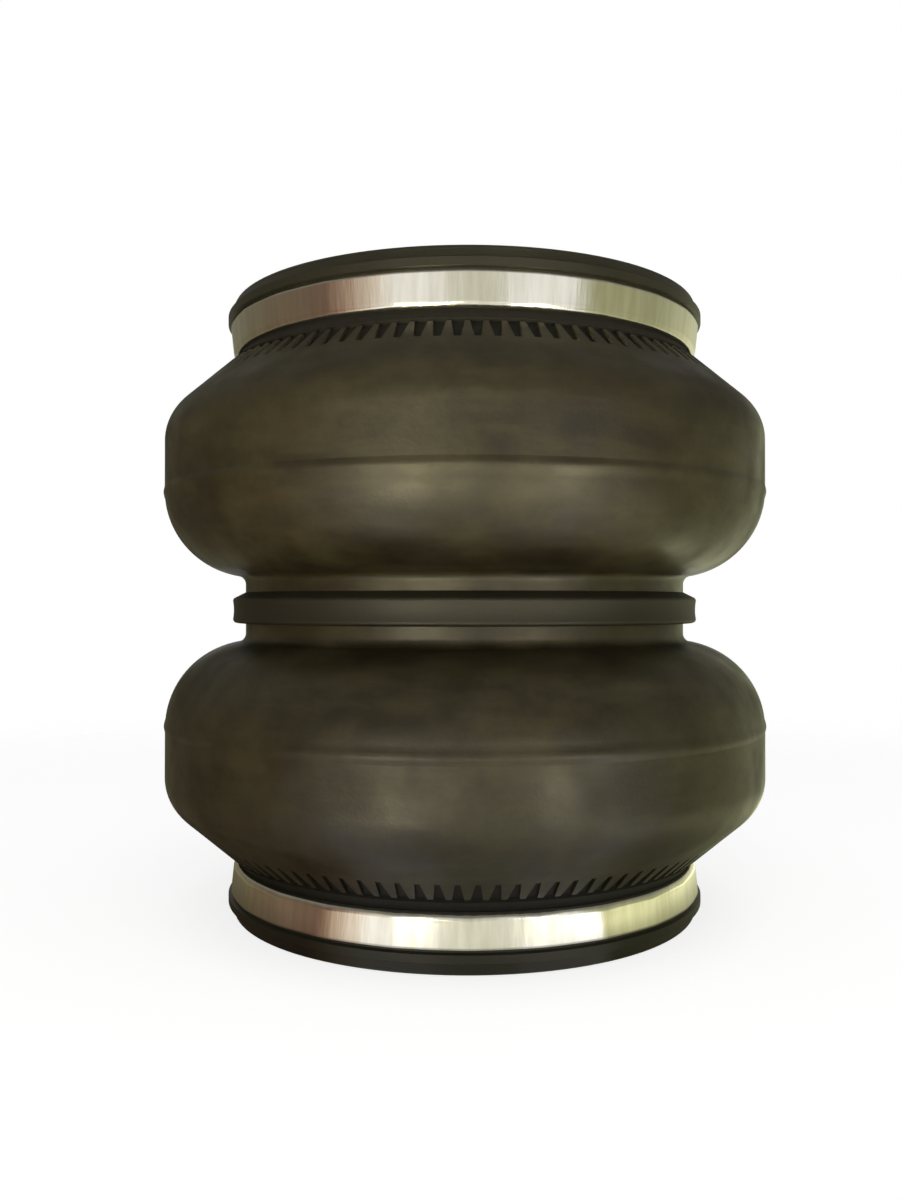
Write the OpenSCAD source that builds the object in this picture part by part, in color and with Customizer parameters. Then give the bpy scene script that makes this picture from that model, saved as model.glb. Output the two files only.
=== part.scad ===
// Air bellows actuator with two convolutions, crimped end caps and a girdle hoop
// Millimetres. The base stands on Z = 0 and the stroke runs along +Z.
// Heights named "up" are measured from the girdle plane, half way up the free height.

/* [Free height] */
// Height over both end caps with no air in it
free_height = 144; // [130:0.5:160]

/* [Convolutions] */
// Outer radius at the crown of each convolution
crown_r = 71.7; // [66:0.1:78]
// Height of the upright stretch of the crown, between flank and shoulder
crown_h = 11.2; // [8:0.1:14]
// Bend radius of the shoulder
shoulder_r = 11.5; // [9:0.1:14]
// Slope of the neck cone from the level, in degrees
cone_slope = 41.5; // [36:0.5:46]
// Outer radius of the waist under the girdle hoop
waist_r = 53.1; // [50:0.1:55]
// Hollow radius between waist and flank
waist_fillet = 2.1; // [1.5:0.1:4]
// Outer radius of the necks under the crimp rings
neck_r = 54.5; // [53:0.1:56]
// Hollow radius between cone and neck
neck_fillet = 2.5; // [2:0.1:4]
// How far the hollow reaches in under the crimp ring
neck_lead = 0.8; // [0.4:0.1:1]
// Bare waist above the girdle hoop
waist_gap = 1.9; // [1.5:0.1:4]

/* [Wall layers] */
// Thickness of the outer rubber cover
cover_t = 1.4; // [1:0.1:2]
// Thickness of the outer cord ply
outer_ply_t = 0.9; // [0.6:0.1:1.2]
// Thickness of the inner cord ply
inner_ply_t = 0.9; // [0.6:0.1:1.2]
// Thickness of the airtight liner
liner_t = 0.8; // [0.5:0.1:1.2]
// Bond line between two layers
bond = 0.1; // [0.08:0.01:0.2]
// Thickness of the cover where it holds the bead wire
bead_t = 3.2; // [3:0.1:4]

/* [Moulded detail of the cover] */
// Number of slots round each neck cone
slot_count = 100; // [60:2:120]
// Slot width at the neck
slot_w = 2.4; // [1.6:0.1:2.6]
// Slot width at the shoulder
slot_tip_w = 1; // [0.6:0.1:1.4]
// Slot length down the cone
slot_l = 7.4; // [5:0.1:8]
// Slot depth
slot_d = 0.8; // [0.4:0.1:1]
// How far outside the neck the middle of the slots lies
slot_out = 5; // [4.5:0.1:6]
// Width of the groove that joins the slots at the neck
slot_ring_w = 0.6; // [0.4:0.1:1]
// Depth of that groove
slot_ring_d = 0.5; // [0.3:0.1:0.8]
// How far the parting ridge lies below the upright crown
ridge_drop = 0.6; // [0.5:0.1:1.5]
// Height of the parting ridge
ridge_h = 0.4; // [0.2:0.1:0.6]
// Width of the parting ridge
ridge_w = 1.2; // [0.6:0.1:1.6]

/* [Bead wires] */
// Diameter of the bead wire
wire_d = 2; // [1.6:0.1:2.2]
// Play of the wire in its channel, each side
wire_play = 0.1; // [0.05:0.05:0.2]

/* [Girdle hoop] */
// Height of the hoop along the waist
hoop_h = 7.2; // [6:0.1:9]
// How far the middle of the hoop stands above the girdle plane
hoop_rise = 0.3; // [0:0.1:0.5]
// Slope of the upper side of the hoop from the level, in degrees
hoop_slope = 27; // [15:1:35]
// Thickness of the hoop over its two lips
hoop_t = 2.9; // [2:0.1:4]
// Depth of the hollow face between the lips
hoop_dip = 0.2; // [0.1:0.1:0.5]
// Rounding of the lips
hoop_round = 0.9; // [0.5:0.1:1.2]
// Play between hoop and waist
hoop_play = 0.1; // [0.08:0.01:0.2]

/* [Crimp rings] */
// Height of the ring
ring_h = 7.2; // [6:0.1:8]
// Thickness at the rolled edge
ring_t = 1.4; // [1.3:0.1:2]
// Growth of the outer radius towards the end cap
ring_flare = 0.6; // [0.2:0.1:1]
// Depth of the rolled edge
ring_round = 1.2; // [0.6:0.1:1.2]
// Height of the rolled edge
ring_roll_h = 2; // [1:0.1:2.5]
// Play between ring and neck
ring_play = 0.15; // [0.1:0.01:0.3]

/* [End caps] */
// Height of the rim outside the crimp ring
rim_h = 5.3; // [4.5:0.1:7]
// How far the lip of the rim stands outside the crimp ring
rim_over = 0.5; // [0.2:0.05:1]
// Height of the shadow groove between ring and lip
rim_groove_h = 0.7; // [0.4:0.1:1]
// Depth of the shadow groove
rim_groove_d = 0.85; // [0.5:0.05:1.5]
// Slope at the edges of the lip
rim_edge = 0.3; // [0.2:0.05:0.4]
// Height of the lip
rim_lip_h = 1.7; // [1.2:0.1:2.2]
// Step behind the lip
rim_step = 0.7; // [0.4:0.05:1]
// Draw of the rim from the lip to the outer face
rim_draw = 1.35; // [1:0.05:2]
// Edge rounding of the outer face
rim_round = 1; // [0.5:0.1:1.5]
// Thickness of the plate below the rim inside the spigot
plate_t = 0.6; // [0.4:0.1:2]
// Play between spigot and liner
spigot_play = 0.1; // [0.08:0.01:0.2]
// Wall thickness of the spigot
spigot_t = 4.5; // [3:0.1:6]
// Depth of the spigot below the rim
spigot_h = 9.4; // [8:0.1:12]
// Number of grip grooves in the spigot
grip_count = 3; // [1:1:3]
// Depth and width of a grip groove
grip_w = 0.9; // [0.5:0.1:1.2]
// Pitch of the grip grooves
grip_pitch = 2.2; // [1.8:0.1:2.6]
// Thickness of the stiffening ribs
rib_t = 2.6; // [2:0.1:4]
// Depth of the stiffening ribs below the rim
rib_h = 6; // [4:0.1:8]
// Number of stiffening ribs
rib_count = 8; // [6:2:16]
// Radius of the middle boss
hub_r = 13; // [12:0.1:16]
// Depth of the middle boss below the rim
hub_h = 11.4; // [10:0.1:14]
// Radius of the bosses round the nut inserts
boss_r = 10; // [9:0.1:12]
// Depth of these bosses below the rim
boss_h = 13; // [12:0.1:16]

/* [Mounting inserts] */
// Distance between the two nut inserts of a cap
bolt_spacing = 70; // [60:0.5:76]
// Radius of a nut insert
nut_r = 7; // [6:0.1:8]
// Length of a nut insert
nut_l = 15; // [13:0.5:16]
// Tapping radius of its blind thread
nut_tap_r = 3.97; // [3.4:0.01:4.25]
// Depth of its blind thread
nut_tap_l = 12; // [9:0.5:12.5]
// Radius of the air port insert
port_r = 9.5; // [9:0.1:10.5]
// Length of the air port insert
port_l = 15; // [14:0.5:16]
// Tapping radius of the air port
port_tap_r = 5.55; // [5:0.01:6]
// Radius of the air passage under the port insert
port_way_r = 6.2; // [5.6:0.1:7]
// Lead in at the mouth of each thread
mouth_cut = 0.8; // [0.4:0.1:1.2]
// Moulding gap round each insert
insert_gap = 0.1; // [0.05:0.01:0.15]

/* [Hidden] */
$fn = 96;
// Points along each bend of the wall
bend_steps = 10;
// Height up to the outer face, to the rim underside and to the rolled edge of the ring
face_up = free_height / 2;
rim_up = face_up - rim_h;
ring_up = rim_up - ring_h;
// Where the shoulder bend ends and the cone starts, so that the cone runs in under the ring
cone_a = 90 - cone_slope;
shoulder_x = crown_r - shoulder_r;
cone_x = shoulder_x + shoulder_r * cos(cone_a);
neck_up = ring_up + neck_lead;
cone_up = neck_up - (neck_fillet - (neck_r + neck_fillet - cone_x) * cos(cone_a)) / sin(cone_a);
// Heights up to the shoulder bend, to the flank bend and to the parting line
shoulder_up = cone_up - shoulder_r * sin(cone_a);
flank_up = shoulder_up - crown_h;
parting_up = flank_up - ridge_drop;
// Middle of the hollow between waist and flank, clear of the hoop
hollow_x = waist_r + waist_fillet;
hoop_top = hoop_rise + hoop_h / 2;
hollow_up = hoop_top + waist_gap;
// Bend radius of the flank that touches both that hollow and the upright crown
hollow_in = crown_r - hollow_x;
hollow_drop = flank_up - hollow_up;
flank_r = (pow(hollow_in, 2) + pow(hollow_drop, 2) - pow(waist_fillet, 2))
    / (2 * (waist_fillet + hollow_in));
flank_x = crown_r - flank_r;
// Bearing of the hollow from the middle of the flank bend
hollow_a = atan2(-hollow_drop, hollow_x - flank_x);
// How far inside the outer surface each layer starts
outer_ply_in = cover_t + bond;
inner_ply_in = outer_ply_in + outer_ply_t + bond;
liner_in = inner_ply_in + inner_ply_t + bond;
liner_face_in = liner_in + liner_t;
// The bead is thicker than the wall, so the layers step further in at the neck
bead_step = bead_t - cover_t;
spigot_r = neck_r - bead_step - liner_face_in - spigot_play;
wire_r = neck_r - bead_t / 2;
ring_in_r = neck_r + ring_play;
hoop_in_r = waist_r + hoop_play;
hoop_r = hoop_in_r + hoop_t;
rim_r = ring_in_r + ring_t + ring_flare + rim_over;
slot_mid_r = neck_r + slot_out;
slot_ring_r = slot_mid_r - (slot_l - slot_ring_w) / 2 * cos(cone_slope);
// Heights at the ends of the hollow face of the hoop, and the radius of that face
hoop_slope_a = 90 - hoop_slope;
hoop_face_top = hoop_top - (hoop_round - cos(hoop_slope_a) * (hoop_round - hoop_t)) / sin(hoop_slope_a);
hoop_face_low = hoop_rise - hoop_h / 2 + hoop_round;
hoop_face_half = (hoop_face_top - hoop_face_low) / 2;
hoop_face_r = (pow(hoop_face_half, 2) + pow(hoop_dip, 2)) / (2 * hoop_dip);

// Points of an arc from bearing a to bearing b
function arc(x, up, r, a, b) = [for (i = [0:bend_steps])
    let (t = a + (b - a) * i / bend_steps) [x + r * cos(t), up + r * sin(t)]];

function turned(path) = [for (i = [len(path) - 1:-1:0]) path[i]];

// A path above the girdle plane together with its mirror image below
function both_ways(path) = concat(
    [for (i = [len(path) - 1:-1:1]) [path[i][0], -path[i][1]]], path);

// Bearing of a height on the flank bend, and height of a radius on the neck cone
function flank_a(up) = asin((up - flank_up) / flank_r);

function cone_at(r) = cone_up + (cone_x - r) * tan(cone_slope);

// Upper half of a wall surface, "depth" inside the outer surface, "step" further in at the neck
function half_wall(depth, step, ridge) = let (
        neck = neck_r - depth - step,
        hollow = neck_fillet + depth,
        bend = shoulder_r - depth,
        x = shoulder_x + bend * cos(cone_a),
        up = shoulder_up + bend * sin(cone_a),
        lead_up = up + (hollow - (neck + hollow - x) * cos(cone_a)) / sin(cone_a))
    concat([[waist_r - depth, 0]],
        arc(hollow_x, hollow_up, waist_fillet + depth, 180, hollow_a + 180),
        ridge ? concat(
            arc(flank_x, flank_up, flank_r, hollow_a, flank_a(parting_up - ridge_w / 2)),
            [[crown_r + ridge_h, parting_up]],
            arc(flank_x, flank_up, flank_r, flank_a(parting_up + ridge_w / 2), 0))
        : arc(flank_x, flank_up, flank_r - depth, hollow_a, 0),
        arc(shoulder_x, shoulder_up, bend, 0, cone_a),
        arc(neck + hollow, lead_up, hollow, 180 + cone_a, 180),
        [[neck, rim_up]]);

// Everything is drawn about the girdle plane and lifted by half the free height
module lift() translate([0, 0, face_up]) children();

module layer(depth, step, inner_depth, inner_step, ridge = false) rotate_extrude()
    polygon(concat(both_ways(half_wall(depth, step, ridge)),
        turned(both_ways(half_wall(inner_depth, inner_step, false)))));

module outer_cover() color("#2e2b24") lift() difference() {
    layer(0, 0, cover_t, bead_step, true);
    for (side = [0, 1]) mirror([0, 0, side]) {
        rotate_extrude()
            translate([wire_r - wire_d / 2 - wire_play, rim_up - wire_d - wire_play])
            square([wire_d + 2 * wire_play, wire_d + 1]);
        rotate_extrude() translate([slot_ring_r, cone_at(slot_ring_r)]) rotate(-cone_slope)
            square([slot_ring_w, 2 * slot_ring_d], center = true);
        for (i = [0:slot_count - 1]) rotate([0, 0, (i + 0.5) * 360 / slot_count])
            translate([slot_mid_r, 0, cone_at(slot_mid_r)]) rotate([0, cone_slope, 0])
            translate([0, 0, -slot_d]) linear_extrude(2 * slot_d) polygon([
                [-slot_l / 2, -slot_w / 2], [slot_l / 2, -slot_tip_w / 2],
                [slot_l / 2, slot_tip_w / 2], [-slot_l / 2, slot_w / 2]]);
    }
}

module outer_ply() color("#6b5a3c") lift()
    layer(outer_ply_in, bead_step, outer_ply_in + outer_ply_t, bead_step);

module inner_ply() color("#7a6848") lift()
    layer(inner_ply_in, bead_step, inner_ply_in + inner_ply_t, bead_step);

module inner_liner() color("#1f1f1f") lift()
    layer(liner_in, bead_step, liner_face_in, bead_step);

// The wire lies against the rim underside at the open end of its channel
module bead_wire() rotate_extrude() translate([wire_r, rim_up - wire_d / 2]) circle(d = wire_d);

module upper_bead_wire() color("#8a8f94") lift() bead_wire();

module lower_bead_wire() color("#8a8f94") lift() mirror([0, 0, 1]) bead_wire();

module girdle_hoop() color("#1c1c1a") lift() rotate_extrude() let (
        edge = hoop_r - hoop_round,
        lip_a = asin(hoop_face_half / hoop_face_r))
    polygon(concat([[hoop_in_r, hoop_face_low - hoop_round]],
        arc(edge, hoop_face_low, hoop_round, -90, 0),
        arc(hoop_r - hoop_dip + hoop_face_r, hoop_face_low + hoop_face_half, hoop_face_r,
            180 + lip_a, 180 - lip_a),
        arc(edge, hoop_face_top, hoop_round, 0, hoop_slope_a), [[hoop_in_r, hoop_top]]));

// Rolled sheet with a long round edge on the side of the convolution
module crimp_ring() rotate_extrude() let (
        mid = ring_in_r + ring_t - ring_round)
    polygon(concat([[ring_in_r, ring_up + ring_t - ring_round]],
        [for (p = arc(0, 0, 1, -90, 0)) [mid + ring_round * p[0], ring_up + ring_roll_h * (1 + p[1])]],
        [[ring_in_r + ring_t + ring_flare, rim_up], [ring_in_r, rim_up]]));

module upper_crimp_ring() color("#c9c8c0") lift() crimp_ring();

module lower_crimp_ring() color("#c9c8c0") lift() mirror([0, 0, 1]) crimp_ring();

// Face plate, stepped rim and spigot as one turned body
module cap_body() rotate_extrude() difference() {
    let (
        groove_r = rim_r - rim_groove_d,
        lip_up = rim_up + rim_groove_h,
        step_up = lip_up + rim_lip_h,
        edge = rim_r - rim_draw - rim_round)
    polygon(concat([[0, rim_up - plate_t], [spigot_r - spigot_t, rim_up - plate_t],
        [spigot_r - spigot_t, rim_up - spigot_h], [spigot_r, rim_up - spigot_h],
        [spigot_r, rim_up], [groove_r, rim_up], [groove_r, lip_up - rim_edge],
        [rim_r, lip_up], [rim_r, step_up], [rim_r - rim_step, step_up + rim_edge]],
        arc(edge, face_up - rim_round, rim_round, 0, 90), [[0, face_up]]));
    for (i = [1:grip_count]) translate([spigot_r - grip_w / 2, rim_up - i * grip_pitch])
        square([grip_w, grip_w]);
}

module end_cap(port) difference() {
    union() {
        cap_body();
        translate([0, 0, rim_up - hub_h]) cylinder(r = hub_r, h = hub_h);
        for (side = [-1, 1]) translate([side * bolt_spacing / 2, 0, rim_up - boss_h])
            cylinder(r = boss_r, h = boss_h);
        for (i = [0:rib_count - 1]) rotate([0, 0, i * 360 / rib_count])
            translate([0, -rib_t / 2, rim_up - rib_h])
            cube([spigot_r - spigot_t / 2, rib_t, rib_h]);
    }
    for (side = [-1, 1]) translate([side * bolt_spacing / 2, 0, face_up - nut_l])
        cylinder(r = nut_r + insert_gap, h = nut_l + 1);
    if (port) {
        translate([0, 0, face_up - port_l]) cylinder(r = port_r + insert_gap, h = port_l + 1);
        translate([0, 0, rim_up - hub_h - 1]) cylinder(r = port_way_r, h = hub_h + rim_h);
    }
}

module upper_end_cap() color("#26261f") lift() end_cap(true);

module lower_end_cap() color("#26261f") lift() mirror([0, 0, 1]) end_cap(false);

// Plain sleeve with a tapped hole and a lead in at its mouth
module insert(r, l, tap_r, tap_l) translate([0, 0, face_up]) rotate([180, 0, 0]) difference() {
    cylinder(r = r, h = l);
    translate([0, 0, -1]) cylinder(r = tap_r, h = tap_l + 1);
    cylinder(r1 = tap_r + mouth_cut, r2 = tap_r, h = mouth_cut);
}

module nut_inserts() for (side = [-1, 1]) translate([side * bolt_spacing / 2, 0, 0])
    insert(nut_r, nut_l, nut_tap_r, nut_tap_l);

module upper_nut_inserts() color("#b08d3c") lift() nut_inserts();

module lower_nut_inserts() color("#b08d3c") lift() mirror([0, 0, 1]) nut_inserts();

module air_port_insert() color("#b08d3c") lift() insert(port_r, port_l, port_tap_r, port_l + 1);

outer_cover();
outer_ply();
inner_ply();
inner_liner();
upper_bead_wire();
lower_bead_wire();
girdle_hoop();
upper_crimp_ring();
lower_crimp_ring();
upper_end_cap();
lower_end_cap();
upper_nut_inserts();
lower_nut_inserts();
air_port_insert();
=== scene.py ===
import math

import bmesh
import bpy
from mathutils import Matrix, Vector, noise


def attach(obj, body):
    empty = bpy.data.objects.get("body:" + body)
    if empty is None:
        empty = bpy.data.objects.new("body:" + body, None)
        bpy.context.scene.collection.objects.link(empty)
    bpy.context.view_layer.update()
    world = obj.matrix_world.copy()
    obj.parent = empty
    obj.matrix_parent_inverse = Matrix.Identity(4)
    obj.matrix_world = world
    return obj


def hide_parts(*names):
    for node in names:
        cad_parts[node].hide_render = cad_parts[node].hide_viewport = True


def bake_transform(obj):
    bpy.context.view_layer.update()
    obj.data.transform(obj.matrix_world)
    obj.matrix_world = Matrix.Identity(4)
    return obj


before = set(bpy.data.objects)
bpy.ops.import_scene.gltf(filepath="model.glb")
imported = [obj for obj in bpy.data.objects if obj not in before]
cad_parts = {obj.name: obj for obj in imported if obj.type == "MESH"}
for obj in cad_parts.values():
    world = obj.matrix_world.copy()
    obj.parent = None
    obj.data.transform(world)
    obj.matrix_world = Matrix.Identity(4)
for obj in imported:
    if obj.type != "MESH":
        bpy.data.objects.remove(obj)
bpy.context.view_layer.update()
mm = 0.001
print("frame loaded:", len(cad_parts), "nodes")


def hexColour(text):
    # sRGB hex to linear, with full alpha
    channels = [int(text[i:i + 2], 16) / 255 for i in (1, 3, 5)]
    linear = [c / 12.92 if c <= 0.04045 else ((c + 0.055) / 1.055) ** 2.4 for c in channels]
    return (*linear, 1.0)


def addNode(tree, kind, inputs=None, **settings):
    node = tree.nodes.new(kind)
    for name, value in settings.items():
        setattr(node, name, value)
    for key, value in (inputs or {}).items():
        if isinstance(value, bpy.types.NodeSocket):
            tree.links.new(value, node.inputs[key])
        else:
            node.inputs[key].default_value = value
    return node


def bareTree(owner):
    owner.use_nodes = True
    owner.node_tree.nodes.clear()
    return owner.node_tree


def newMaterial(name):
    material = bpy.data.materials.new(name)
    tree = bareTree(material)
    shader = addNode(tree, "ShaderNodeBsdfPrincipled")
    addNode(tree, "ShaderNodeOutputMaterial", {"Surface": shader.outputs["BSDF"]})
    return material, tree, shader


def setRamp(node, stops):
    elements = node.color_ramp.elements
    while len(elements) < len(stops):
        elements.new(0.5)
    for element, (place, colour) in zip(elements, stops):
        element.position = place
        element.color = hexColour(colour)


# Studio: white paper sweep, a soft front light and dim warm side walls
studio = {
    # camera, in mm
    "lens": 32.4, "sensor": 36, "shiftUp": 0.00225, "clipStart": 10,
    "distance": 267.7, "eyeHeight": 73.46, "offAxis": -3.2,
    # room; wallTop and wallsMeet are parts of a unit direction, upwards and sideways
    "roomLight": 0.15, "backdrop": "#ffffff", "ceiling": "#7a7970",
    "wallTop": (0.1, 0.42), "wallsMeet": 0.3,
    # wall colours from the front round to the back, each with the share of the way that it lies at
    "leftWalls": [
        (0.004, "#d8d6c4"), (0.012, "#f9f6ee"), (0.1, "#f9f6ee"), (0.13, "#e6d8c6"), (0.2, "#a88d76"),
        (0.28, "#6e5546"), (0.4, "#6e5b4a"), (0.65, "#6b5e48"), (0.95, "#77745c"), (1.0, "#ffffff")],
    "rightWalls": [
        (0.022, "#d2d0bc"), (0.03, "#f9f8f0"), (0.18, "#f9f8f0"), (0.23, "#a5a47e"), (0.6, "#a0a07a"),
        (0.95, "#e6e6bc"), (1.0, "#ffffff")],
}
lamps = {
    # watts, metres and degrees; aim is the height on the axis that a lamp is turned to
    # the two large lamps light the object without being mirrored in it
    "frontLight": {"power": 2.4, "size": (0.9, 0.9), "place": (-0.06, -0.9, 0.22), "aim": 0.072,
                   "spread": 180, "colour": "#ffffff", "mirrored": False},
    "topLight": {"power": 1.1, "size": (0.6, 0.6), "place": (0.05, -0.25, 0.8), "aim": 0.072,
                 "spread": 180, "colour": "#ffffff", "mirrored": False},
    "leftCard": {"power": 0.075, "size": (0.09, 0.09), "place": (-0.074, -0.26, 0.004), "aim": 0.16,
                 "spread": 60, "colour": "#fff2c0", "mirrored": True},
    "rightCard": {"power": 0.037, "size": (0.08, 0.08), "place": (0.125, -0.22, 0.004), "aim": 0.16,
                  "spread": 60, "colour": "#fff2c0", "mirrored": True},
    "leftLowCard": {"power": 0.024, "size": (0.09, 0.09), "place": (-0.15, -0.36, 0.004), "aim": 0.045,
                    "spread": 60, "colour": "#fff2c0", "mirrored": True},
    "rightLowCard": {"power": 0.016, "size": (0.09, 0.09), "place": (0.2, -0.33, 0.004), "aim": 0.045,
                     "spread": 60, "colour": "#fff2c0", "mirrored": True},
}


def addCamera():
    camera = bpy.data.cameras.new("photoCamera")
    camera.lens = studio["lens"]
    camera.sensor_width = studio["sensor"]
    camera.shift_y = studio["shiftUp"]
    camera.clip_start = studio["clipStart"] * mm
    holder = bpy.data.objects.new("photoCamera", camera)
    holder.location = (studio["offAxis"] * mm, -studio["distance"] * mm, studio["eyeHeight"] * mm)
    holder.rotation_euler = (math.radians(90), 0, 0)
    bpy.context.scene.collection.objects.link(holder)
    bpy.context.scene.camera = holder


def addLamps():
    for name, given in lamps.items():
        lamp = bpy.data.lights.new(name, "AREA")
        lamp.energy = given["power"]
        lamp.shape = "RECTANGLE"
        lamp.size, lamp.size_y = given["size"]
        lamp.spread = math.radians(given["spread"])
        lamp.color = hexColour(given["colour"])[:3]
        holder = bpy.data.objects.new(name, lamp)
        holder.location = given["place"]
        aim = Vector((0, 0, given["aim"])) - holder.location
        holder.rotation_euler = aim.to_track_quat("-Z", "Y").to_euler()
        holder.visible_camera = False
        holder.visible_glossy = given["mirrored"]
        bpy.context.scene.collection.objects.link(holder)


def surroundingsGroup():
    # colour of the room by direction: front, side walls, backdrop, and ceiling above
    tree = bpy.data.node_groups.new("surroundings", "ShaderNodeTree")
    tree.interface.new_socket("Direction", in_out="INPUT", socket_type="NodeSocketVector")
    tree.interface.new_socket("Colour", in_out="OUTPUT", socket_type="NodeSocketColor")
    given = addNode(tree, "NodeGroupInput").outputs["Direction"]
    heading = addNode(tree, "ShaderNodeVectorMath", {0: given}, operation="NORMALIZE")
    parts = addNode(tree, "ShaderNodeSeparateXYZ", {"Vector": heading.outputs["Vector"]})
    depth = addNode(tree, "ShaderNodeMapRange", {"Value": parts.outputs["Y"], "From Min": -1.0})
    walls = []
    for side in ("leftWalls", "rightWalls"):
        ramp = addNode(tree, "ShaderNodeValToRGB", {"Fac": depth.outputs[0]})
        setRamp(ramp, studio[side])
        walls.append(ramp.outputs["Color"])
    across = addNode(tree, "ShaderNodeMapRange", {
        "Value": parts.outputs["X"],
        "From Min": -studio["wallsMeet"], "From Max": studio["wallsMeet"]})
    around = addNode(tree, "ShaderNodeMix", {
        "Factor": across.outputs[0], "A": walls[0], "B": walls[1]}, data_type="RGBA")
    wallEnd, ceilingStart = studio["wallTop"]
    upward = addNode(tree, "ShaderNodeMapRange", {
        "Value": parts.outputs["Z"], "From Min": wallEnd, "From Max": ceilingStart})
    room = addNode(tree, "ShaderNodeMix", {
        "Factor": upward.outputs[0], "A": around.outputs["Result"],
        "B": hexColour(studio["ceiling"])}, data_type="RGBA")
    addNode(tree, "NodeGroupOutput", {"Colour": room.outputs["Result"]})
    return tree


def shownRays(tree):
    # what the camera, a mirror and a clear piece see, as against what lights the object
    path = addNode(tree, "ShaderNodeLightPath").outputs
    seen = addNode(tree, "ShaderNodeMath", {
        0: path["Is Camera Ray"], 1: path["Is Glossy Ray"]}, operation="MAXIMUM")
    shown = addNode(tree, "ShaderNodeMath", {
        0: seen.outputs[0], 1: path["Is Transmission Ray"]}, operation="MAXIMUM")
    return shown.outputs[0], path["Is Glossy Ray"]


def addWorld(surroundings):
    world = bpy.data.worlds.new("studioWorld")
    bpy.context.scene.world = world
    tree = bareTree(world)
    shown, mirrored = shownRays(tree)
    place = addNode(tree, "ShaderNodeTexCoord")
    room = addNode(tree, "ShaderNodeGroup", {"Direction": place.outputs["Generated"]},
                   node_tree=surroundings)
    seen = addNode(tree, "ShaderNodeMix", {
        "Factor": mirrored, "A": hexColour(studio["backdrop"]), "B": room.outputs["Colour"]},
        data_type="RGBA")
    background = addNode(tree, "ShaderNodeBackground", {
        "Color": seen.outputs["Result"], "Strength": 1.0})
    light = addNode(tree, "ShaderNodeBackground", {
        "Color": hexColour(studio["backdrop"]), "Strength": studio["roomLight"]})
    both = addNode(tree, "ShaderNodeMixShader", {
        "Fac": shown, 1: light.outputs[0], 2: background.outputs[0]})
    addNode(tree, "ShaderNodeOutputWorld", {"Surface": both.outputs[0]})


# Paper sweep, in metres from the middle of the object
paper = {
    "size": 8, "drop": 0.0002, "colour": "#cccccc", "lift": 0.8, "fade": (0.22, 0.5),
    # in a mirror it shows the walls, as seen from bandFront and drawn in sideways by wallDraw
    "bandFront": 0.031, "wallDraw": 0.78,
    # strength in a mirror, from a painted shadow beside the object to painted extra light further out
    "shade": (0.06, 0.12), "shadeLight": (0.5, 1.25),
    # a painted pool of light on the right, which starts, ends and gains this much
    "patchStart": (0.06, 0.1), "patchEnd": (0.14, 0.17), "patchLight": 1.15,
}


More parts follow.
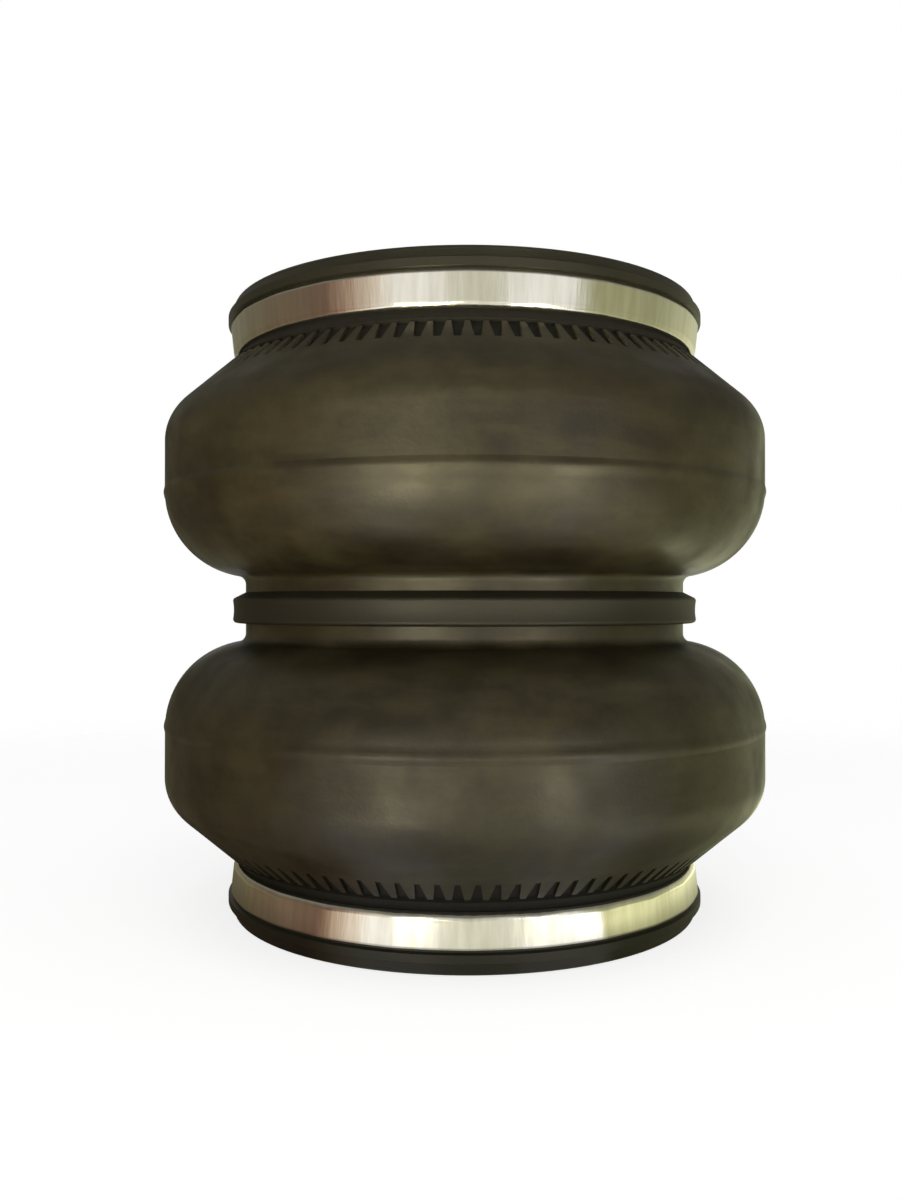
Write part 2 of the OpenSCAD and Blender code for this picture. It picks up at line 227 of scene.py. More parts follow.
def addFloor(surroundings):
    bpy.ops.mesh.primitive_plane_add(size=paper["size"], location=(0, 0, -paper["drop"]))
    floor = bpy.context.object
    floor.name = "paperSweep"
    # matt white paper under the object, which thins out into the white backdrop
    material = bpy.data.materials.new("whitePaper")
    tree = bareTree(material)
    shown, mirrored = shownRays(tree)
    place = addNode(tree, "ShaderNodeTexCoord").outputs["Object"]
    matt = addNode(tree, "ShaderNodeBsdfDiffuse", {"Color": hexColour(paper["colour"])})
    lift = addNode(tree, "ShaderNodeEmission", {
        "Color": hexColour(studio["backdrop"]), "Strength": paper["lift"]})
    lit = addNode(tree, "ShaderNodeAddShader", {0: matt.outputs[0], 1: lift.outputs[0]})
    # in a mirror the paper takes the colours of the walls behind it
    behind = addNode(tree, "ShaderNodeVectorMath", {
        0: place, 1: (paper["wallDraw"], 1, 1), 2: (0, paper["bandFront"], 0)},
        operation="MULTIPLY_ADD")
    room = addNode(tree, "ShaderNodeGroup", {"Direction": behind.outputs["Vector"]},
                   node_tree=surroundings)
    reach = addNode(tree, "ShaderNodeVectorMath", {0: place}, operation="LENGTH").outputs["Value"]
    # painted shadow and light: in a mirror the paper is dimmed beside the object and brightened further
    # out
    shadeStart, shadeEnd = paper["shade"]
    dimmest, brightest = paper["shadeLight"]
    shade = addNode(tree, "ShaderNodeMapRange", {
        "Value": reach, "From Min": shadeStart, "From Max": shadeEnd,
        "To Min": dimmest, "To Max": brightest})
    parts = addNode(tree, "ShaderNodeSeparateXYZ", {"Vector": place})
    # painted light: in a mirror a patch of paper on the right is brightened
    patchStart, patchFull = paper["patchStart"]
    rightward = addNode(tree, "ShaderNodeMapRange", {
        "Value": parts.outputs["X"], "From Min": patchStart, "From Max": patchFull,
        "To Max": paper["patchLight"]})
    patchFade, patchEnd = paper["patchEnd"]
    near = addNode(tree, "ShaderNodeMapRange", {
        "Value": reach, "From Min": patchEnd, "From Max": patchFade})
    gain = addNode(tree, "ShaderNodeMath", {
        0: rightward.outputs[0], 1: near.outputs[0]}, operation="MULTIPLY")
    glow = addNode(tree, "ShaderNodeMath", {
        0: shade.outputs[0], 1: gain.outputs[0], 2: shade.outputs[0]}, operation="MULTIPLY_ADD")
    mirror = addNode(tree, "ShaderNodeEmission", {
        "Color": room.outputs["Colour"], "Strength": glow.outputs[0]})
    seen = addNode(tree, "ShaderNodeMixShader", {
        "Fac": mirrored, 1: lit.outputs[0], 2: mirror.outputs[0]})
    both = addNode(tree, "ShaderNodeMixShader", {"Fac": shown, 1: matt.outputs[0], 2: seen.outputs[0]})
    clear = addNode(tree, "ShaderNodeBsdfTransparent")
    fadeStart, fadeEnd = paper["fade"]
    fade = addNode(tree, "ShaderNodeMapRange", {
        "Value": reach, "From Min": fadeStart, "From Max": fadeEnd}, interpolation_type="SMOOTHSTEP")
    sweep = addNode(tree, "ShaderNodeMixShader", {
        "Fac": fade.outputs[0], 1: both.outputs[0], 2: clear.outputs[0]})
    addNode(tree, "ShaderNodeOutputMaterial", {"Surface": sweep.outputs[0]})
    floor.data.materials.append(material)


def buildStudio():
    bpy.context.scene.view_settings.view_transform = "Standard"
    addCamera()
    addLamps()
    surroundings = surroundingsGroup()
    addWorld(surroundings)
    addFloor(surroundings)
    print("studio built")


# Moulded natural rubber: near black with a brown and olive cast, satin from the mould, hazed by bloom,
# with painted shade in the floors of the neck slots
rubberLook = {
    "tints": [(0.34, "#1e180f"), (0.5, "#2b2618"), (0.66, "#3b3624")],
    "dust": "#4b4630", "roughness": (0.32, 0.56),
    # painted shade on the floors of the slots, which begins inside slotR, is full at floorR and lies
    # beyond slotUp, in mm; the floors are also made dull
    "slotShadeColour": "#0b0906", "slotRoughness": 0.75, "slotR": 62.2, "floorR": 61.7, "slotUp": 50,
}


def mouldedRubber(name, slotShaded):
    material, tree, shader = newMaterial(name)
    place = addNode(tree, "ShaderNodeTexCoord").outputs["Object"]
    # bloom lies in clouds about 30 mm wide
    cloud = addNode(tree, "ShaderNodeTexNoise", {
        "Vector": place, "Scale": 1 / (30 * mm), "Detail": 5.0, "Roughness": 0.74})
    tint = addNode(tree, "ShaderNodeValToRGB", {"Fac": cloud.outputs["Fac"]})
    setRamp(tint, rubberLook["tints"])
    # scuffs run round the wall, 5 mm high and 25 mm long
    drawn = addNode(tree, "ShaderNodeMapping", {
        "Vector": place, "Scale": (1 / (25 * mm), 1 / (25 * mm), 1 / (5 * mm))})
    flow = addNode(tree, "ShaderNodeTexNoise", {
        "Vector": drawn.outputs["Vector"], "Scale": 1.0, "Detail": 4.0, "Roughness": 0.6})
    scuff = addNode(tree, "ShaderNodeMapRange", {
        "Value": flow.outputs["Fac"], "From Min": 0.48, "From Max": 0.8, "To Max": 0.5})
    dustAndSlotShade = addNode(tree, "ShaderNodeMix", {
        "Factor": scuff.outputs[0], "A": tint.outputs["Color"], "B": hexColour(rubberLook["dust"])},
        data_type="RGBA").outputs["Result"]
    # the shine varies in patches 12 mm wide
    patch = addNode(tree, "ShaderNodeTexNoise", {"Vector": place, "Scale": 1 / (12 * mm), "Detail": 4.0})
    shiny, dull = rubberLook["roughness"]
    gloss = addNode(tree, "ShaderNodeMapRange", {
        "Value": patch.outputs["Fac"], "From Min": 0.3, "From Max": 0.7,
        "To Min": shiny, "To Max": dull}).outputs[0]
    if slotShaded:
        # painted shade: the floors of the slots, which nothing rubs, are painted near black as shade and
        # made dull
        parts = addNode(tree, "ShaderNodeSeparateXYZ", {"Vector": place})
        level = addNode(tree, "ShaderNodeVectorMath", {0: place, 1: (1, 1, 0)}, operation="MULTIPLY")
        radius = addNode(tree, "ShaderNodeVectorMath", {0: level.outputs["Vector"]}, operation="LENGTH")
        within = addNode(tree, "ShaderNodeMapRange", {
            "Value": radius.outputs["Value"],
            "From Min": rubberLook["slotR"] * mm, "From Max": rubberLook["floorR"] * mm})
        up = addNode(tree, "ShaderNodeMath", {
            0: parts.outputs["Z"], 1: wall["middle"] * mm}, operation="SUBTRACT")
        away = addNode(tree, "ShaderNodeMath", {0: up.outputs[0]}, operation="ABSOLUTE")
        ends = addNode(tree, "ShaderNodeMath", {
            0: away.outputs[0], 1: rubberLook["slotUp"] * mm}, operation="GREATER_THAN")
        sunk = addNode(tree, "ShaderNodeMath", {
            0: within.outputs[0], 1: ends.outputs[0]}, operation="MULTIPLY").outputs[0]
        dustAndSlotShade = addNode(tree, "ShaderNodeMix", {
            "Factor": sunk, "A": dustAndSlotShade, "B": hexColour(rubberLook["slotShadeColour"])},
            data_type="RGBA").outputs["Result"]
        gloss = addNode(tree, "ShaderNodeMix", {
            "Factor": sunk, "A": gloss, "B": rubberLook["slotRoughness"]}).outputs["Result"]
    tree.links.new(dustAndSlotShade, shader.inputs["Base Color"])
    tree.links.new(gloss, shader.inputs["Roughness"])
    # mould grain, drawn at 0.6 mm so that it shows
    grain = addNode(tree, "ShaderNodeTexNoise", {"Vector": place, "Scale": 1 / (0.6 * mm), "Detail": 2.0})
    bump = addNode(tree, "ShaderNodeBump", {
        "Height": grain.outputs["Fac"], "Strength": 0.15, "Distance": 0.2 * mm})
    ripple = addNode(tree, "ShaderNodeBump", {
        "Height": flow.outputs["Fac"], "Strength": 0.1, "Distance": 0.5 * mm,
        "Normal": bump.outputs["Normal"]})
    tree.links.new(ripple.outputs["Normal"], shader.inputs["Normal"])
    shader.inputs["IOR"].default_value = 1.52
    return material


# Rolled aluminium strip, crimped on: bright, with upright streaks from the crimping jaws
def rolledAluminium():
    material, tree, shader = newMaterial("rolledAluminium")
    place = addNode(tree, "ShaderNodeTexCoord").outputs["Object"]
    # streaks 2 mm wide that run the full height of the strip
    upright = addNode(tree, "ShaderNodeMapping", {
        "Vector": place, "Scale": (1 / (2 * mm), 1 / (2 * mm), 1 / (50 * mm))})
    streak = addNode(tree, "ShaderNodeTexNoise", {
        "Vector": upright.outputs["Vector"], "Scale": 1.0, "Detail": 3.0, "Roughness": 0.6})
    tint = addNode(tree, "ShaderNodeValToRGB", {"Fac": streak.outputs["Fac"]})
    setRamp(tint, [(0.25, "#dcd9d0"), (0.75, "#f2f1ec")])
    tree.links.new(tint.outputs["Color"], shader.inputs["Base Color"])
    # smears about 10 mm wide take off some of the shine
    smear = addNode(tree, "ShaderNodeTexNoise", {"Vector": place, "Scale": 1 / (10 * mm), "Detail": 4.0})
    gloss = addNode(tree, "ShaderNodeMapRange", {
        "Value": smear.outputs["Fac"], "From Min": 0.3, "From Max": 0.7,
        "To Min": 0.09, "To Max": 0.18})
    tree.links.new(gloss.outputs[0], shader.inputs["Roughness"])
    bump = addNode(tree, "ShaderNodeBump", {
        "Height": streak.outputs["Fac"], "Strength": 0.2, "Distance": 0.2 * mm})
    tree.links.new(bump.outputs["Normal"], shader.inputs["Normal"])
    shader.inputs["Metallic"].default_value = 1.0
    return material


# Glass-filled nylon: moulded, dark, satin with a fine grain
def filledNylon(name, dark, light, roughness):
    material, tree, shader = newMaterial(name)
    place = addNode(tree, "ShaderNodeTexCoord").outputs["Object"]
    # flow marks about 20 mm wide
    flow = addNode(tree, "ShaderNodeTexNoise", {"Vector": place, "Scale": 1 / (20 * mm), "Detail": 5.0})
    tint = addNode(tree, "ShaderNodeValToRGB", {"Fac": flow.outputs["Fac"]})
    setRamp(tint, [(0.3, dark), (0.7, light)])
    tree.links.new(tint.outputs["Color"], shader.inputs["Base Color"])
    gloss = addNode(tree, "ShaderNodeMapRange", {
        "Value": flow.outputs["Fac"], "From Min": 0.3, "From Max": 0.7,
        "To Min": roughness[0], "To Max": roughness[1]})
    tree.links.new(gloss.outputs[0], shader.inputs["Roughness"])
    # glass fibres leave a grain, drawn at 0.6 mm so that it shows
    grain = addNode(tree, "ShaderNodeTexNoise", {"Vector": place, "Scale": 1 / (0.6 * mm), "Detail": 2.0})
    bump = addNode(tree, "ShaderNodeBump", {
        "Height": grain.outputs["Fac"], "Strength": 0.12, "Distance": 0.2 * mm})
    tree.links.new(bump.outputs["Normal"], shader.inputs["Normal"])
    shader.inputs["IOR"].default_value = 1.53
    return material


# Turned free-cutting brass: warm yellow, dulled in patches by handling
def turnedBrass():
    material, tree, shader = newMaterial("turnedBrass")
    place = addNode(tree, "ShaderNodeTexCoord").outputs["Object"]
    # patches about 4 mm wide
    haze = addNode(tree, "ShaderNodeTexNoise", {"Vector": place, "Scale": 1 / (4 * mm), "Detail": 4.0})
    tint = addNode(tree, "ShaderNodeValToRGB", {"Fac": haze.outputs["Fac"]})
    setRamp(tint, [(0.3, "#b8954c"), (0.7, "#dcbc74")])
    tree.links.new(tint.outputs["Color"], shader.inputs["Base Color"])
    gloss = addNode(tree, "ShaderNodeMapRange", {
        "Value": haze.outputs["Fac"], "From Min": 0.3, "From Max": 0.7,
        "To Min": 0.24, "To Max": 0.38})
    tree.links.new(gloss.outputs[0], shader.inputs["Roughness"])
    shader.inputs["Metallic"].default_value = 1.0
    return material


# Drawn steel wire: grey, with lengthwise drawing marks
def drawnSteel():
    material, tree, shader = newMaterial("drawnSteel")
    place = addNode(tree, "ShaderNodeTexCoord").outputs["Object"]
    # marks 10 mm long and 0.3 mm wide
    drawn = addNode(tree, "ShaderNodeMapping", {
        "Vector": place, "Scale": (1 / (10 * mm), 1 / (10 * mm), 1 / (0.3 * mm))})
    mark = addNode(tree, "ShaderNodeTexNoise", {"Vector": drawn.outputs["Vector"], "Scale": 1.0})
    tint = addNode(tree, "ShaderNodeValToRGB", {"Fac": mark.outputs["Fac"]})
    setRamp(tint, [(0.3, "#7d8084"), (0.7, "#a2a5a8")])
    tree.links.new(tint.outputs["Color"], shader.inputs["Base Color"])
    shader.inputs["Metallic"].default_value = 1.0
    shader.inputs["Roughness"].default_value = 0.35
    return material


def revolve(name, path, segments, sharpAngle, shape=None):
    # path is a closed loop of (radius, height) in mm, up on the outside and down on the inside
    count = len(path)
    verts, faces = [], []
    for k in range(segments):
        angle = 2 * math.pi * k / segments
        for r, z in path:
            if shape:
                r, z = shape(angle, r, z)
            verts.append((r * math.cos(angle) * mm, r * math.sin(angle) * mm, z * mm))
    for k in range(segments):
        after = (k + 1) % segments
        for i in range(count):
            j = (i + 1) % count
            faces.append((k * count + i, after * count + i, after * count + j, k * count + j))
    mesh = bpy.data.meshes.new(name)
    mesh.from_pydata(verts, [], faces)
    # a path that touches the axis closes there in one point
    shell = bmesh.new()
    shell.from_mesh(mesh)
    bmesh.ops.remove_doubles(shell, verts=shell.verts, dist=1e-7)
    shell.to_mesh(mesh)
    shell.free()
    mesh.shade_smooth()
    mesh.set_sharp_from_angle(angle=math.radians(sharpAngle))
    piece = bpy.data.objects.new(name, mesh)
    bpy.context.scene.collection.objects.link(piece)
    return piece


def arc(x, up, r, a, b, steps):
    # points from a to b degrees round (x, up)
    turns = [math.radians(a + (b - a) * i / steps) for i in range(steps + 1)]
    return [(x + r * math.cos(t), up + r * math.sin(t)) for t in turns]


# The bellows wall, in mm about the girdle plane
wall = {
    "middle": 72.0, "crownR": 71.7, "flankUp": 27.6, "shoulderUp": 38.8, "flankR": 20.0,
    "shoulderR": 11.5, "coneSlope": 41.5, "waistR": 53.1, "waistFillet": 2.1, "neckR": 54.5,
    "neckFillet": 2.5, "thickness": 4.2, "beadStep": 1.8, "beadUp": 66.7,
    "ridgeDrop": 0.6, "ridgeH": 0.25, "ridgeW": 3.0,
    # slow waves in the moulded rubber, which fade in from waveR and out to waveUp
    "unevenness": 0.12, "waveLength": 22, "waveR": 56, "waveUp": 50, "waveFade": 6,
    # heights that the stretch starts and ends at
    "still": -3.0, "clamped": 67.5,
    # fineness of the mesh, and the angle in degrees from which an edge shows
    "segments": 320, "steps": 12, "innerSteps": 6, "ridgeSteps": 8, "crownSteps": 6, "coneSteps": 4,
    "sharp": 40,
}
# Ribs between the slots on each cone, in mm; a rib's root reaches into the floor of the slots
ribs = {
    "count": 100, "midR": 59.5, "length": 7.4, "depth": 0.8, "root": 0.1,
    "slotNeckW": 2.4, "slotTipW": 1.0, "draft": 0.86, "grooveW": 1.2,
    # how far the floor takes to come up, at the tips of the slots and at the neck
    "tipRun": 0.25, "neckRun": 0.1,
}


def coneStart(depth):
    # the cone's angle, and where it leaves the shoulder's bend at this depth in the wall
    angle = math.radians(90 - wall["coneSlope"])
    bend = wall["shoulderR"] - depth
    x = wall["crownR"] - wall["shoulderR"] + bend * math.cos(angle)
    return angle, x, wall["shoulderUp"] + bend * math.sin(angle)


def halfWall(depth, step, steps, detail):
    flankX = wall["crownR"] - wall["flankR"]
    hollowX = wall["waistR"] + wall["waistFillet"]
    reach = wall["flankR"] + wall["waistFillet"]
    hollowUp = wall["flankUp"] - math.sqrt(reach ** 2 - (hollowX - flankX) ** 2)
    bearing = math.degrees(math.atan2(hollowUp - wall["flankUp"], hollowX - flankX))
    angle, coneX, coneUp = coneStart(depth)
    coneA = math.degrees(angle)
    cosA, sinA = math.cos(angle), math.sin(angle)
    neck = wall["neckR"] - depth - step
    hollow = wall["neckFillet"] + depth
    neckUp = coneUp + (hollow - (neck + hollow - coneX) * cosA) / sinA
    path = [(wall["waistR"] - depth, 0)]
    path += arc(hollowX, hollowUp, wall["waistFillet"] + depth, 180, bearing + 180, steps)
    if detail:
        # the flank bend, broken by the parting ridge, which swells out of it and back
        ridgeUp = wall["flankUp"] - wall["ridgeDrop"]
        half = wall["ridgeW"] / 2
        below = math.degrees(math.asin((ridgeUp - half - wall["flankUp"]) / wall["flankR"]))
        above = math.degrees(math.asin((ridgeUp + half - wall["flankUp"]) / wall["flankR"]))
        path += arc(flankX, wall["flankUp"], wall["flankR"], bearing, below, 2 * steps)[1:]
        shares = [2 * i / wall["ridgeSteps"] - 1 for i in range(1, wall["ridgeSteps"])]
        path += [(wall["crownR"] + wall["ridgeH"] * (1 + math.cos(math.pi * t)) / 2, ridgeUp + half * t)
                 for t in shares]
        path += arc(flankX, wall["flankUp"], wall["flankR"], above, 0, steps=2)
        upright = wall["shoulderUp"] - wall["flankUp"]
        path += [(wall["crownR"], wall["flankUp"] + upright * i / wall["crownSteps"])
                 for i in range(1, wall["crownSteps"])]
    else:
        path += arc(flankX, wall["flankUp"], wall["flankR"] - depth, bearing, 0, 2 * steps)[1:]
    path += arc(wall["crownR"] - wall["shoulderR"], wall["shoulderUp"], wall["shoulderR"] - depth,
                0, coneA, steps)
    if detail:
        # sunk band that the ribs stand in, with a short slope at the shoulder and a step at the neck
        def onCone(r, sunk):
            up = coneUp + (coneX - r) / math.tan(angle)
            return (r - sunk * cosA, up - sunk * sinA)
        low = ribs["midR"] + ribs["length"] / 2 * sinA
        high = ribs["midR"] - ribs["length"] / 2 * sinA
        path += [onCone(coneX + (low - coneX) * i / wall["coneSteps"], 0)
                 for i in range(1, wall["coneSteps"] + 1)]
        path += [onCone(low - ribs["tipRun"], ribs["depth"]), onCone(ribs["midR"], ribs["depth"]),
                 onCone(high + ribs["neckRun"], ribs["depth"]), onCone(high, 0)]
    path += arc(neck + hollow, neckUp, hollow, 180 + coneA, 180, steps)
    path += [(neck, wall["beadUp"])]
    return path


def unevenCrown(angle, r, z):
    # slow waves left by the mould and the cords, none at the clamped necks or the waist
    up = abs(z - wall["middle"])
    offWaist = min(1, max(0, (r - wall["waveR"]) / wall["waveFade"]))
    offNeck = min(1, max(0, (wall["waveUp"] - up) / wall["waveFade"]))
    spot = Vector((r * math.cos(angle), r * math.sin(angle), z)) / wall["waveLength"]
    return r + wall["unevenness"] * offWaist * offNeck * noise.noise(spot), z


def newTree(name, inputs):
    tree = bpy.data.node_groups.new(name, "GeometryNodeTree")
    sockets = {}
    for label, kind in inputs:
        sockets[label] = tree.interface.new_socket(label, in_out="INPUT", socket_type=kind).identifier
    tree.interface.new_socket("Geometry", in_out="OUTPUT", socket_type="NodeSocketGeometry")
    return tree, sockets, addNode(tree, "NodeGroupInput").outputs


def endTree(tree, geometry, material):
    plain = addNode(tree, "GeometryNodeRealizeInstances", {"Geometry": geometry})
    dressed = addNode(tree, "GeometryNodeSetMaterial", {
        "Geometry": plain.outputs[0], "Material": material})
    addNode(tree, "NodeGroupOutput", {"Geometry": dressed.outputs[0]})


def ribRingTree():
    tree, sockets, given = newTree("neckRibRing", (
        ("Count", "NodeSocketInt"), ("Radius", "NodeSocketFloat"), ("Height", "NodeSocketFloat"),
        ("Size", "NodeSocketVector"), ("Slope", "NodeSocketFloat"), ("Neck Share", "NodeSocketFloat"),
        ("Draft", "NodeSocketFloat"), ("Material", "NodeSocketMaterial")))
    size = addNode(tree, "ShaderNodeSeparateXYZ", {"Vector": given["Size"]})
    block = addNode(tree, "GeometryNodeMeshCube", {
        "Size": given["Size"], "Vertices X": 5, "Vertices Y": 3, "Vertices Z": 3})
    place = addNode(tree, "GeometryNodeInputPosition")
    parts = addNode(tree, "ShaderNodeSeparateXYZ", {"Vector": place.outputs[0]})
    # a rib is narrow at the neck and as wide as it can be at the shoulder
    along = addNode(tree, "ShaderNodeMath", {
        0: parts.outputs["X"], 1: size.outputs["X"]}, operation="DIVIDE")
    taper = addNode(tree, "ShaderNodeMapRange", {
        "Value": along.outputs[0], "From Min": -0.5, "From Max": 0.5, "To Min": given["Neck Share"]})
    outer = addNode(tree, "ShaderNodeMath", {0: parts.outputs["Z"], 1: 0.0}, operation="GREATER_THAN")
    drawn = addNode(tree, "ShaderNodeMix", {"Factor": outer.outputs[0], "A": 1.0, "B": given["Draft"]})
    narrow = addNode(tree, "ShaderNodeMath", {
        0: taper.outputs[0], 1: drawn.outputs["Result"]}, operation="MULTIPLY")
    squeezed = addNode(tree, "ShaderNodeMath", {
        0: parts.outputs["Y"], 1: narrow.outputs[0]}, operation="MULTIPLY")
    drafted = addNode(tree, "ShaderNodeCombineXYZ", {
        "X": parts.outputs["X"], "Y": squeezed.outputs[0], "Z": parts.outputs["Z"]})
    rib = addNode(tree, "GeometryNodeSetPosition", {
        "Geometry": block.outputs["Mesh"], "Position": drafted.outputs[0]})
    tilt = addNode(tree, "ShaderNodeCombineXYZ", {"Y": given["Slope"]})
    tilted = addNode(tree, "GeometryNodeTransform", {
        "Geometry": rib.outputs[0], "Rotation": tilt.outputs[0]})
    # one rib on each point of a ring, turned to face outwards
    ring = addNode(tree, "GeometryNodeMeshCircle", {
        "Vertices": given["Count"], "Radius": given["Radius"]})
    index = addNode(tree, "GeometryNodeInputIndex")
    share = addNode(tree, "ShaderNodeMath", {
        0: index.outputs[0], 1: given["Count"]}, operation="DIVIDE")
    turn = addNode(tree, "ShaderNodeMath", {0: share.outputs[0], 1: 2 * math.pi}, operation="MULTIPLY")
    facing = addNode(tree, "ShaderNodeCombineXYZ", {"Z": turn.outputs[0]})
    copies = addNode(tree, "GeometryNodeInstanceOnPoints", {
        "Points": ring.outputs["Mesh"], "Instance": tilted.outputs[0], "Rotation": facing.outputs[0]})
    lift = addNode(tree, "ShaderNodeCombineXYZ", {"Z": given["Height"]})
    lifted = addNode(tree, "GeometryNodeTransform", {
        "Geometry": copies.outputs[0], "Translation": lift.outputs[0]})
    endTree(tree, lifted.outputs[0], given["Material"])
    return tree, sockets


def growPiece(name, tree, sockets, values):
    # runs a node tree once and keeps the result as a plain mesh
    seed = bpy.data.objects.new(name + "Seed", bpy.data.meshes.new(name + "Seed"))
    bpy.context.scene.collection.objects.link(seed)
    modifier = seed.modifiers.new("grow", "NODES")
    modifier.node_group = tree
    for key, value in values.items():
        modifier[sockets[key]] = value
    bpy.context.view_layer.update()
    grown = seed.evaluated_get(bpy.context.evaluated_depsgraph_get())
    mesh = bpy.data.meshes.new_from_object(grown)
    mesh.name = name
    seed.modifiers.remove(modifier)
    bpy.data.objects.remove(seed)
    piece = bpy.data.objects.new(name, mesh)
    bpy.context.scene.collection.objects.link(piece)
    return piece


def buildBellows():
    # the cover's rubber gets painted shade in the floors of its slots; the ribs' rubber gets none
    coverRubberSlotShaded = mouldedRubber("mouldedRubber", True)
    ribRubber = mouldedRubber("ribRubber", False)
    outer = halfWall(0, 0, wall["steps"], True)
    inner = halfWall(wall["thickness"], wall["beadStep"], wall["innerSteps"], False)
    loop = outer + inner[::-1]
    middle = wall["middle"]
    angle, coneX, coneUp = coneStart(0)
    cosA, sinA = math.cos(angle), math.sin(angle)
    # a rib's top lies in the cone, and its neck end stops short by the width of the groove
    ribUp = coneUp + (coneX - ribs["midR"]) / math.tan(angle)
    ribH = ribs["depth"] + ribs["root"]
    sink, shift = ribH / 2, ribs["grooveW"] / 2
    ringR = ribs["midR"] - sink * cosA + shift * sinA
    ringUp = ribUp - sink * sinA - shift * cosA
    length = ribs["length"] - ribs["grooveW"]
    # the ribs are what is left between the slots at either end of the band
    reach = ribs["length"] / 2 * sinA
    neckPitch = 2 * math.pi * (ribs["midR"] - reach) / ribs["count"]
    tipPitch = 2 * math.pi * (ribs["midR"] + reach) / ribs["count"]
    neckW, tipW = neckPitch - ribs["slotNeckW"], tipPitch - ribs["slotTipW"]
    tree, sockets = ribRingTree()
    layers = ("outer_cover", "outer_ply", "inner_ply", "inner_liner")
    for side, name, body in ((1, "upper", "upper_end"), (-1, "lower", "lower_end")):
        path = [(r, middle + side * up) for r, up in loop][::side]
        piece = revolve(name + "Convolution", path, wall["segments"], wall["sharp"], unevenCrown)
        piece.data.materials.append(coverRubberSlotShaded)
        ring = growPiece(name + "NeckRibs", tree, sockets, {
            "Count": ribs["count"], "Radius": ringR * mm, "Height": (middle + side * ringUp) * mm,
            "Size": (length * mm, tipW * mm, ribH * mm),
            "Slope": side * math.radians(wall["coneSlope"]), "Neck Share": neckW / tipW,
            "Draft": ribs["draft"], "Material": ribRubber})
        for part in (piece, ring):
            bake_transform(part)
        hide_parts(*layers)
    print("bellows built")


# Crimp rings, in mm: strip with a rolled edge towards the convolution, pressed on by a ring of jaws
crimp = {
    "innerR": 54.65, "sheet": 1.4, "flare": 0.6, "rollDepth": 1.2, "rollHeight": 2.0,
    "low": 59.5, "high": 66.7, "jaws": 24, "jawFlat": 0.25, "pressFade": 4,
    # wave of the strip: height, how fast it changes on the way round, row of the noise, and how far in
    "wave": 0.03, "waveTurns": 9, "waveRow": 3.1, "waveDip": 0.5,
    # points of the rounded free edge, inwards and down from its corner
    "edge": [(0.05, 0.25), (0.1, 0.08), (0.25, 0)],
    # fineness of the mesh, and the angle in degrees from which an edge shows
    "segments": 384, "rollSteps": 14, "flatShares": (0.05, 0.1, 0.9, 0.95), "sharp": 35,
}


def jawMarks(angle, r, z):
    # each jaw leaves a slight flat, and the strip a slight wave; neither reaches its inner face
    pressed = min(1, max(0, (r - crimp["innerR"]) / crimp["sheet"])) ** crimp["pressFade"]
    jaw = 2 * math.pi / crimp["jaws"]
    off = angle % jaw - jaw / 2
    flat = r * math.cos(jaw / 2) / math.cos(off)
    turns = crimp["waveTurns"]
    spot = Vector((turns * math.cos(angle), turns * math.sin(angle), crimp["waveRow"]))
    wave = noise.noise(spot) - crimp["waveDip"]
    return r + pressed * (crimp["jawFlat"] * (flat - r) + crimp["wave"] * wave), z


def buildCrimpRings():
    metal = rolledAluminium()
    lead = crimp["sheet"] - crimp["rollDepth"]
    top = crimp["innerR"] + crimp["sheet"] + crimp["flare"]
    loop = [(crimp["innerR"], crimp["low"] + lead)]
    # the roll ends where it runs on into the slope of the flat
    slope = crimp["flare"] / (crimp["high"] - crimp["low"] - crimp["rollHeight"])
    rollEnd = -math.degrees(math.atan(slope * crimp["rollHeight"] / crimp["rollDepth"]))
    loop += [(crimp["innerR"] + lead + crimp["rollDepth"] * x,
              crimp["low"] + crimp["rollHeight"] * (1 + up))
             for x, up in arc(0, 0, 1, -90, rollEnd, crimp["rollSteps"])]
    edge = [(top - inwards, crimp["high"] - down) for inwards, down in crimp["edge"]]
    # close points at both ends of the flat keep its shading straight
    (startR, startUp), (endR, endUp) = loop[-1], edge[0]
    loop += [(startR + (endR - startR) * t, startUp + (endUp - startUp) * t)
             for t in crimp["flatShares"]]
    loop += edge
    loop += [(crimp["innerR"], crimp["high"])]
    for side, name in ((1, "upper"), (-1, "lower")):
        path = [(r, wall["middle"] + side * up) for r, up in loop][::side]
        ring = revolve(name + "CrimpRing", path, crimp["segments"], crimp["sharp"], jawMarks)
        ring.data.materials.append(metal)
        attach(ring, name + "_end")
        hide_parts(name + "_crimp_ring")
    print("crimp rings built")


# Threaded inserts, in mm below the face of their cap; the thread stands in from its full radius
inserts = {
    "nut": {"r": 7.0, "length": 15, "boreR": 4.76, "endR": 4.76, "depth": 12, "tip": 13.9,
            "pitch": 1.5875, "crest": 0.79, "count": 2, "apart": 70},
    "port": {"r": 9.5, "length": 15, "boreR": 6.75, "endR": 6.35, "depth": 15, "tip": None,
             "pitch": 1.411, "crest": 0.7, "count": 1, "apart": 0},
}
# What all the inserts share: chamfers in mm, turns of the bore without thread, and the mesh
insertTurning = {"mouth": 0.5, "edge": 0.3, "plainTurns": 1.5, "segments": 64, "sharp": 25}


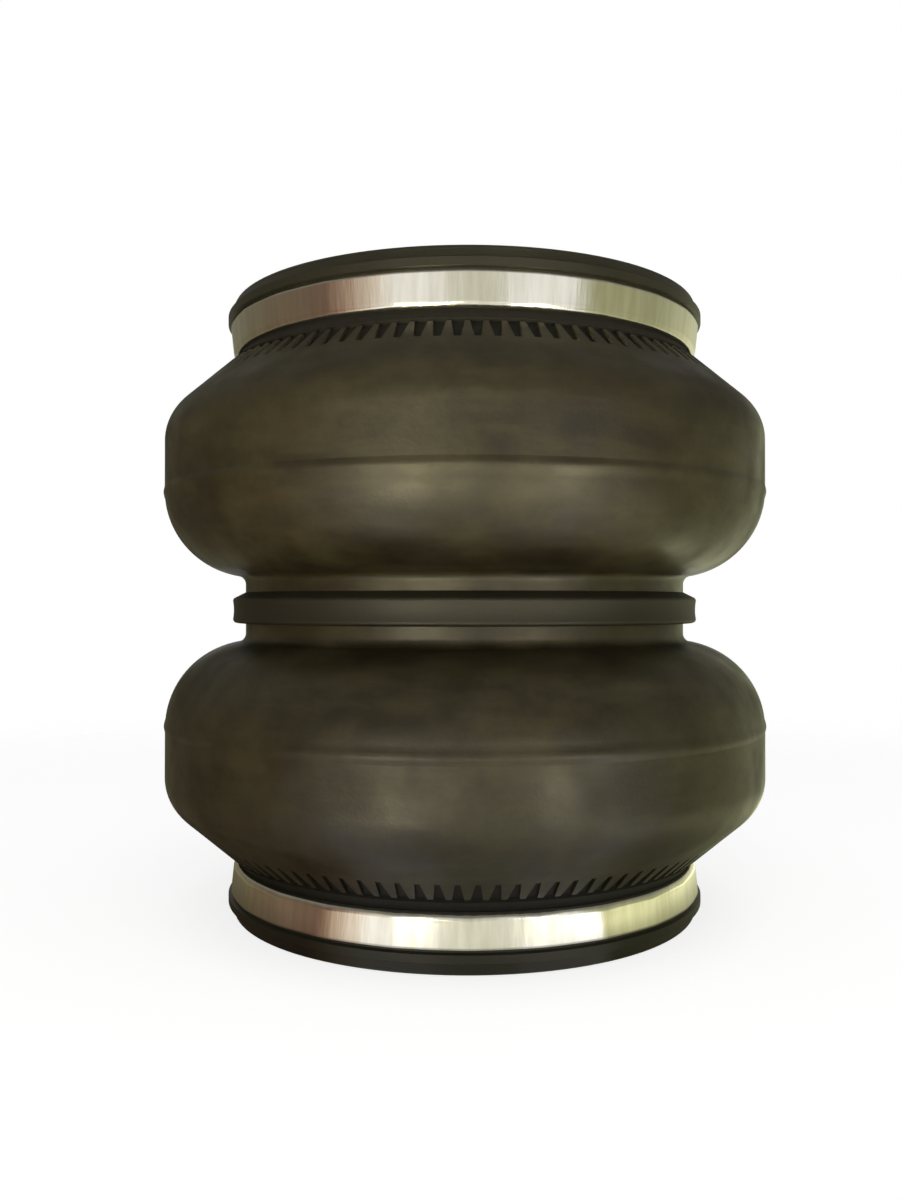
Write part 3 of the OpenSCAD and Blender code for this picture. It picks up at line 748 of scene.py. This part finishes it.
def threadedTree():
    tree, sockets, given = newTree("threadedInsert", (
        ("Sleeve", "NodeSocketObject"), ("Turns", "NodeSocketFloat"), ("Pitch", "NodeSocketFloat"),
        ("Mouth Radius", "NodeSocketFloat"), ("End Radius", "NodeSocketFloat"),
        ("Crest", "NodeSocketFloat"), ("Count", "NodeSocketInt"), ("Apart", "NodeSocketFloat"),
        ("Material", "NodeSocketMaterial")))
    sleeve = addNode(tree, "GeometryNodeObjectInfo", {"Object": given["Sleeve"]})
    height = addNode(tree, "ShaderNodeMath", {
        0: given["Turns"], 1: given["Pitch"]}, operation="MULTIPLY")
    helix = addNode(tree, "GeometryNodeCurveSpiral", {
        "Resolution": 40, "Rotations": given["Turns"], "Start Radius": given["End Radius"],
        "End Radius": given["Mouth Radius"], "Height": height.outputs[0]})
    upright = addNode(tree, "GeometryNodeSetCurveNormal", {"Curve": helix.outputs[0]}, mode="Z_UP")
    ridge = addNode(tree, "GeometryNodeCurvePrimitiveCircle", {
        "Resolution": 4, "Radius": given["Crest"]})
    thread = addNode(tree, "GeometryNodeCurveToMesh", {
        "Curve": upright.outputs[0], "Profile Curve": ridge.outputs[0], "Fill Caps": True})
    # the thread begins one pitch below the mouth
    drop = addNode(tree, "ShaderNodeMath", {0: height.outputs[0], 1: -1.0}, operation="MULTIPLY")
    lower = addNode(tree, "ShaderNodeMath", {
        0: drop.outputs[0], 1: given["Pitch"]}, operation="SUBTRACT")
    shift = addNode(tree, "ShaderNodeCombineXYZ", {"Z": lower.outputs[0]})
    sunk = addNode(tree, "GeometryNodeTransform", {
        "Geometry": thread.outputs[0], "Translation": shift.outputs[0]})
    both = addNode(tree, "GeometryNodeJoinGeometry")
    tree.links.new(sleeve.outputs["Geometry"], both.inputs[0])
    tree.links.new(sunk.outputs[0], both.inputs[0])
    half = addNode(tree, "ShaderNodeMath", {0: given["Apart"], 1: -0.5}, operation="MULTIPLY")
    first = addNode(tree, "ShaderNodeCombineXYZ", {"X": half.outputs[0]})
    step = addNode(tree, "ShaderNodeCombineXYZ", {"X": given["Apart"]})
    row = addNode(tree, "GeometryNodeMeshLine", {
        "Count": given["Count"], "Start Location": first.outputs[0], "Offset": step.outputs[0]})
    copies = addNode(tree, "GeometryNodeInstanceOnPoints", {
        "Points": row.outputs["Mesh"], "Instance": both.outputs[0]})
    endTree(tree, copies.outputs[0], given["Material"])
    return tree, sockets


def buildInserts():
    brass = turnedBrass()
    tree, sockets = threadedTree()
    mouth, edge = insertTurning["mouth"], insertTurning["edge"]
    sleeves = {}
    for kind, given in inserts.items():
        loop = [(given["r"], -given["length"]), (given["r"], -edge), (given["r"] - edge, 0),
                (given["boreR"] + mouth, 0), (given["boreR"], -mouth), (given["endR"], -given["depth"])]
        if given["tip"]:
            loop += [(0, -given["tip"]), (0, -given["length"])]
        sleeves[kind] = revolve(kind + "Sleeve", loop, insertTurning["segments"], insertTurning["sharp"])
    for name, node, kind, body in (("upperNutInserts", "upper_nut_inserts", "nut", "upper_end"),
                                   ("lowerNutInserts", "lower_nut_inserts", "nut", "lower_end"),
                                   ("airPortInsert", "air_port_insert", "port", "upper_end")):
        given = inserts[kind]
        piece = growPiece(name, tree, sockets, {
            "Sleeve": sleeves[kind],
            "Turns": given["depth"] / given["pitch"] - insertTurning["plainTurns"],
            "Pitch": given["pitch"] * mm, "Mouth Radius": given["boreR"] * mm,
            "End Radius": given["endR"] * mm, "Crest": given["crest"] * mm,
            "Count": given["count"], "Apart": given["apart"] * mm, "Material": brass})
        if body == "upper_end":
            piece.data.transform(Matrix.Translation((0, 0, 2 * wall["middle"] * mm)))
        else:
            piece.data.transform(Matrix.Rotation(math.pi, 4, "X"))
        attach(piece, body)
        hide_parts(node)
    for sleeve in sleeves.values():
        bpy.data.objects.remove(sleeve)
    print("inserts built")


# Caps and hoop, shown as their solids: colours and roughness of the nylon of each
nylons = {
    "filledNylon": {"dark": "#1f1e15", "light": "#2d2b20", "roughness": (0.36, 0.48)},
    "hoopNylon": {"dark": "#17150f", "light": "#221f17", "roughness": (0.5, 0.62)},
}


def dressCadNodes():
    cap, hoop = [filledNylon(name, **given) for name, given in nylons.items()]
    steel = drawnSteel()
    finishes = {
        "upper_end_cap": cap, "lower_end_cap": cap, "girdle_hoop": hoop,
        "upper_bead_wire": steel, "lower_bead_wire": steel,
    }
    for node, material in finishes.items():
        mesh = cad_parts[node].data
        mesh.materials.clear()
        mesh.materials.append(material)
    print("solids dressed")


buildStudio()
buildBellows()
buildCrimpRings()
buildInserts()
dressCadNodes()
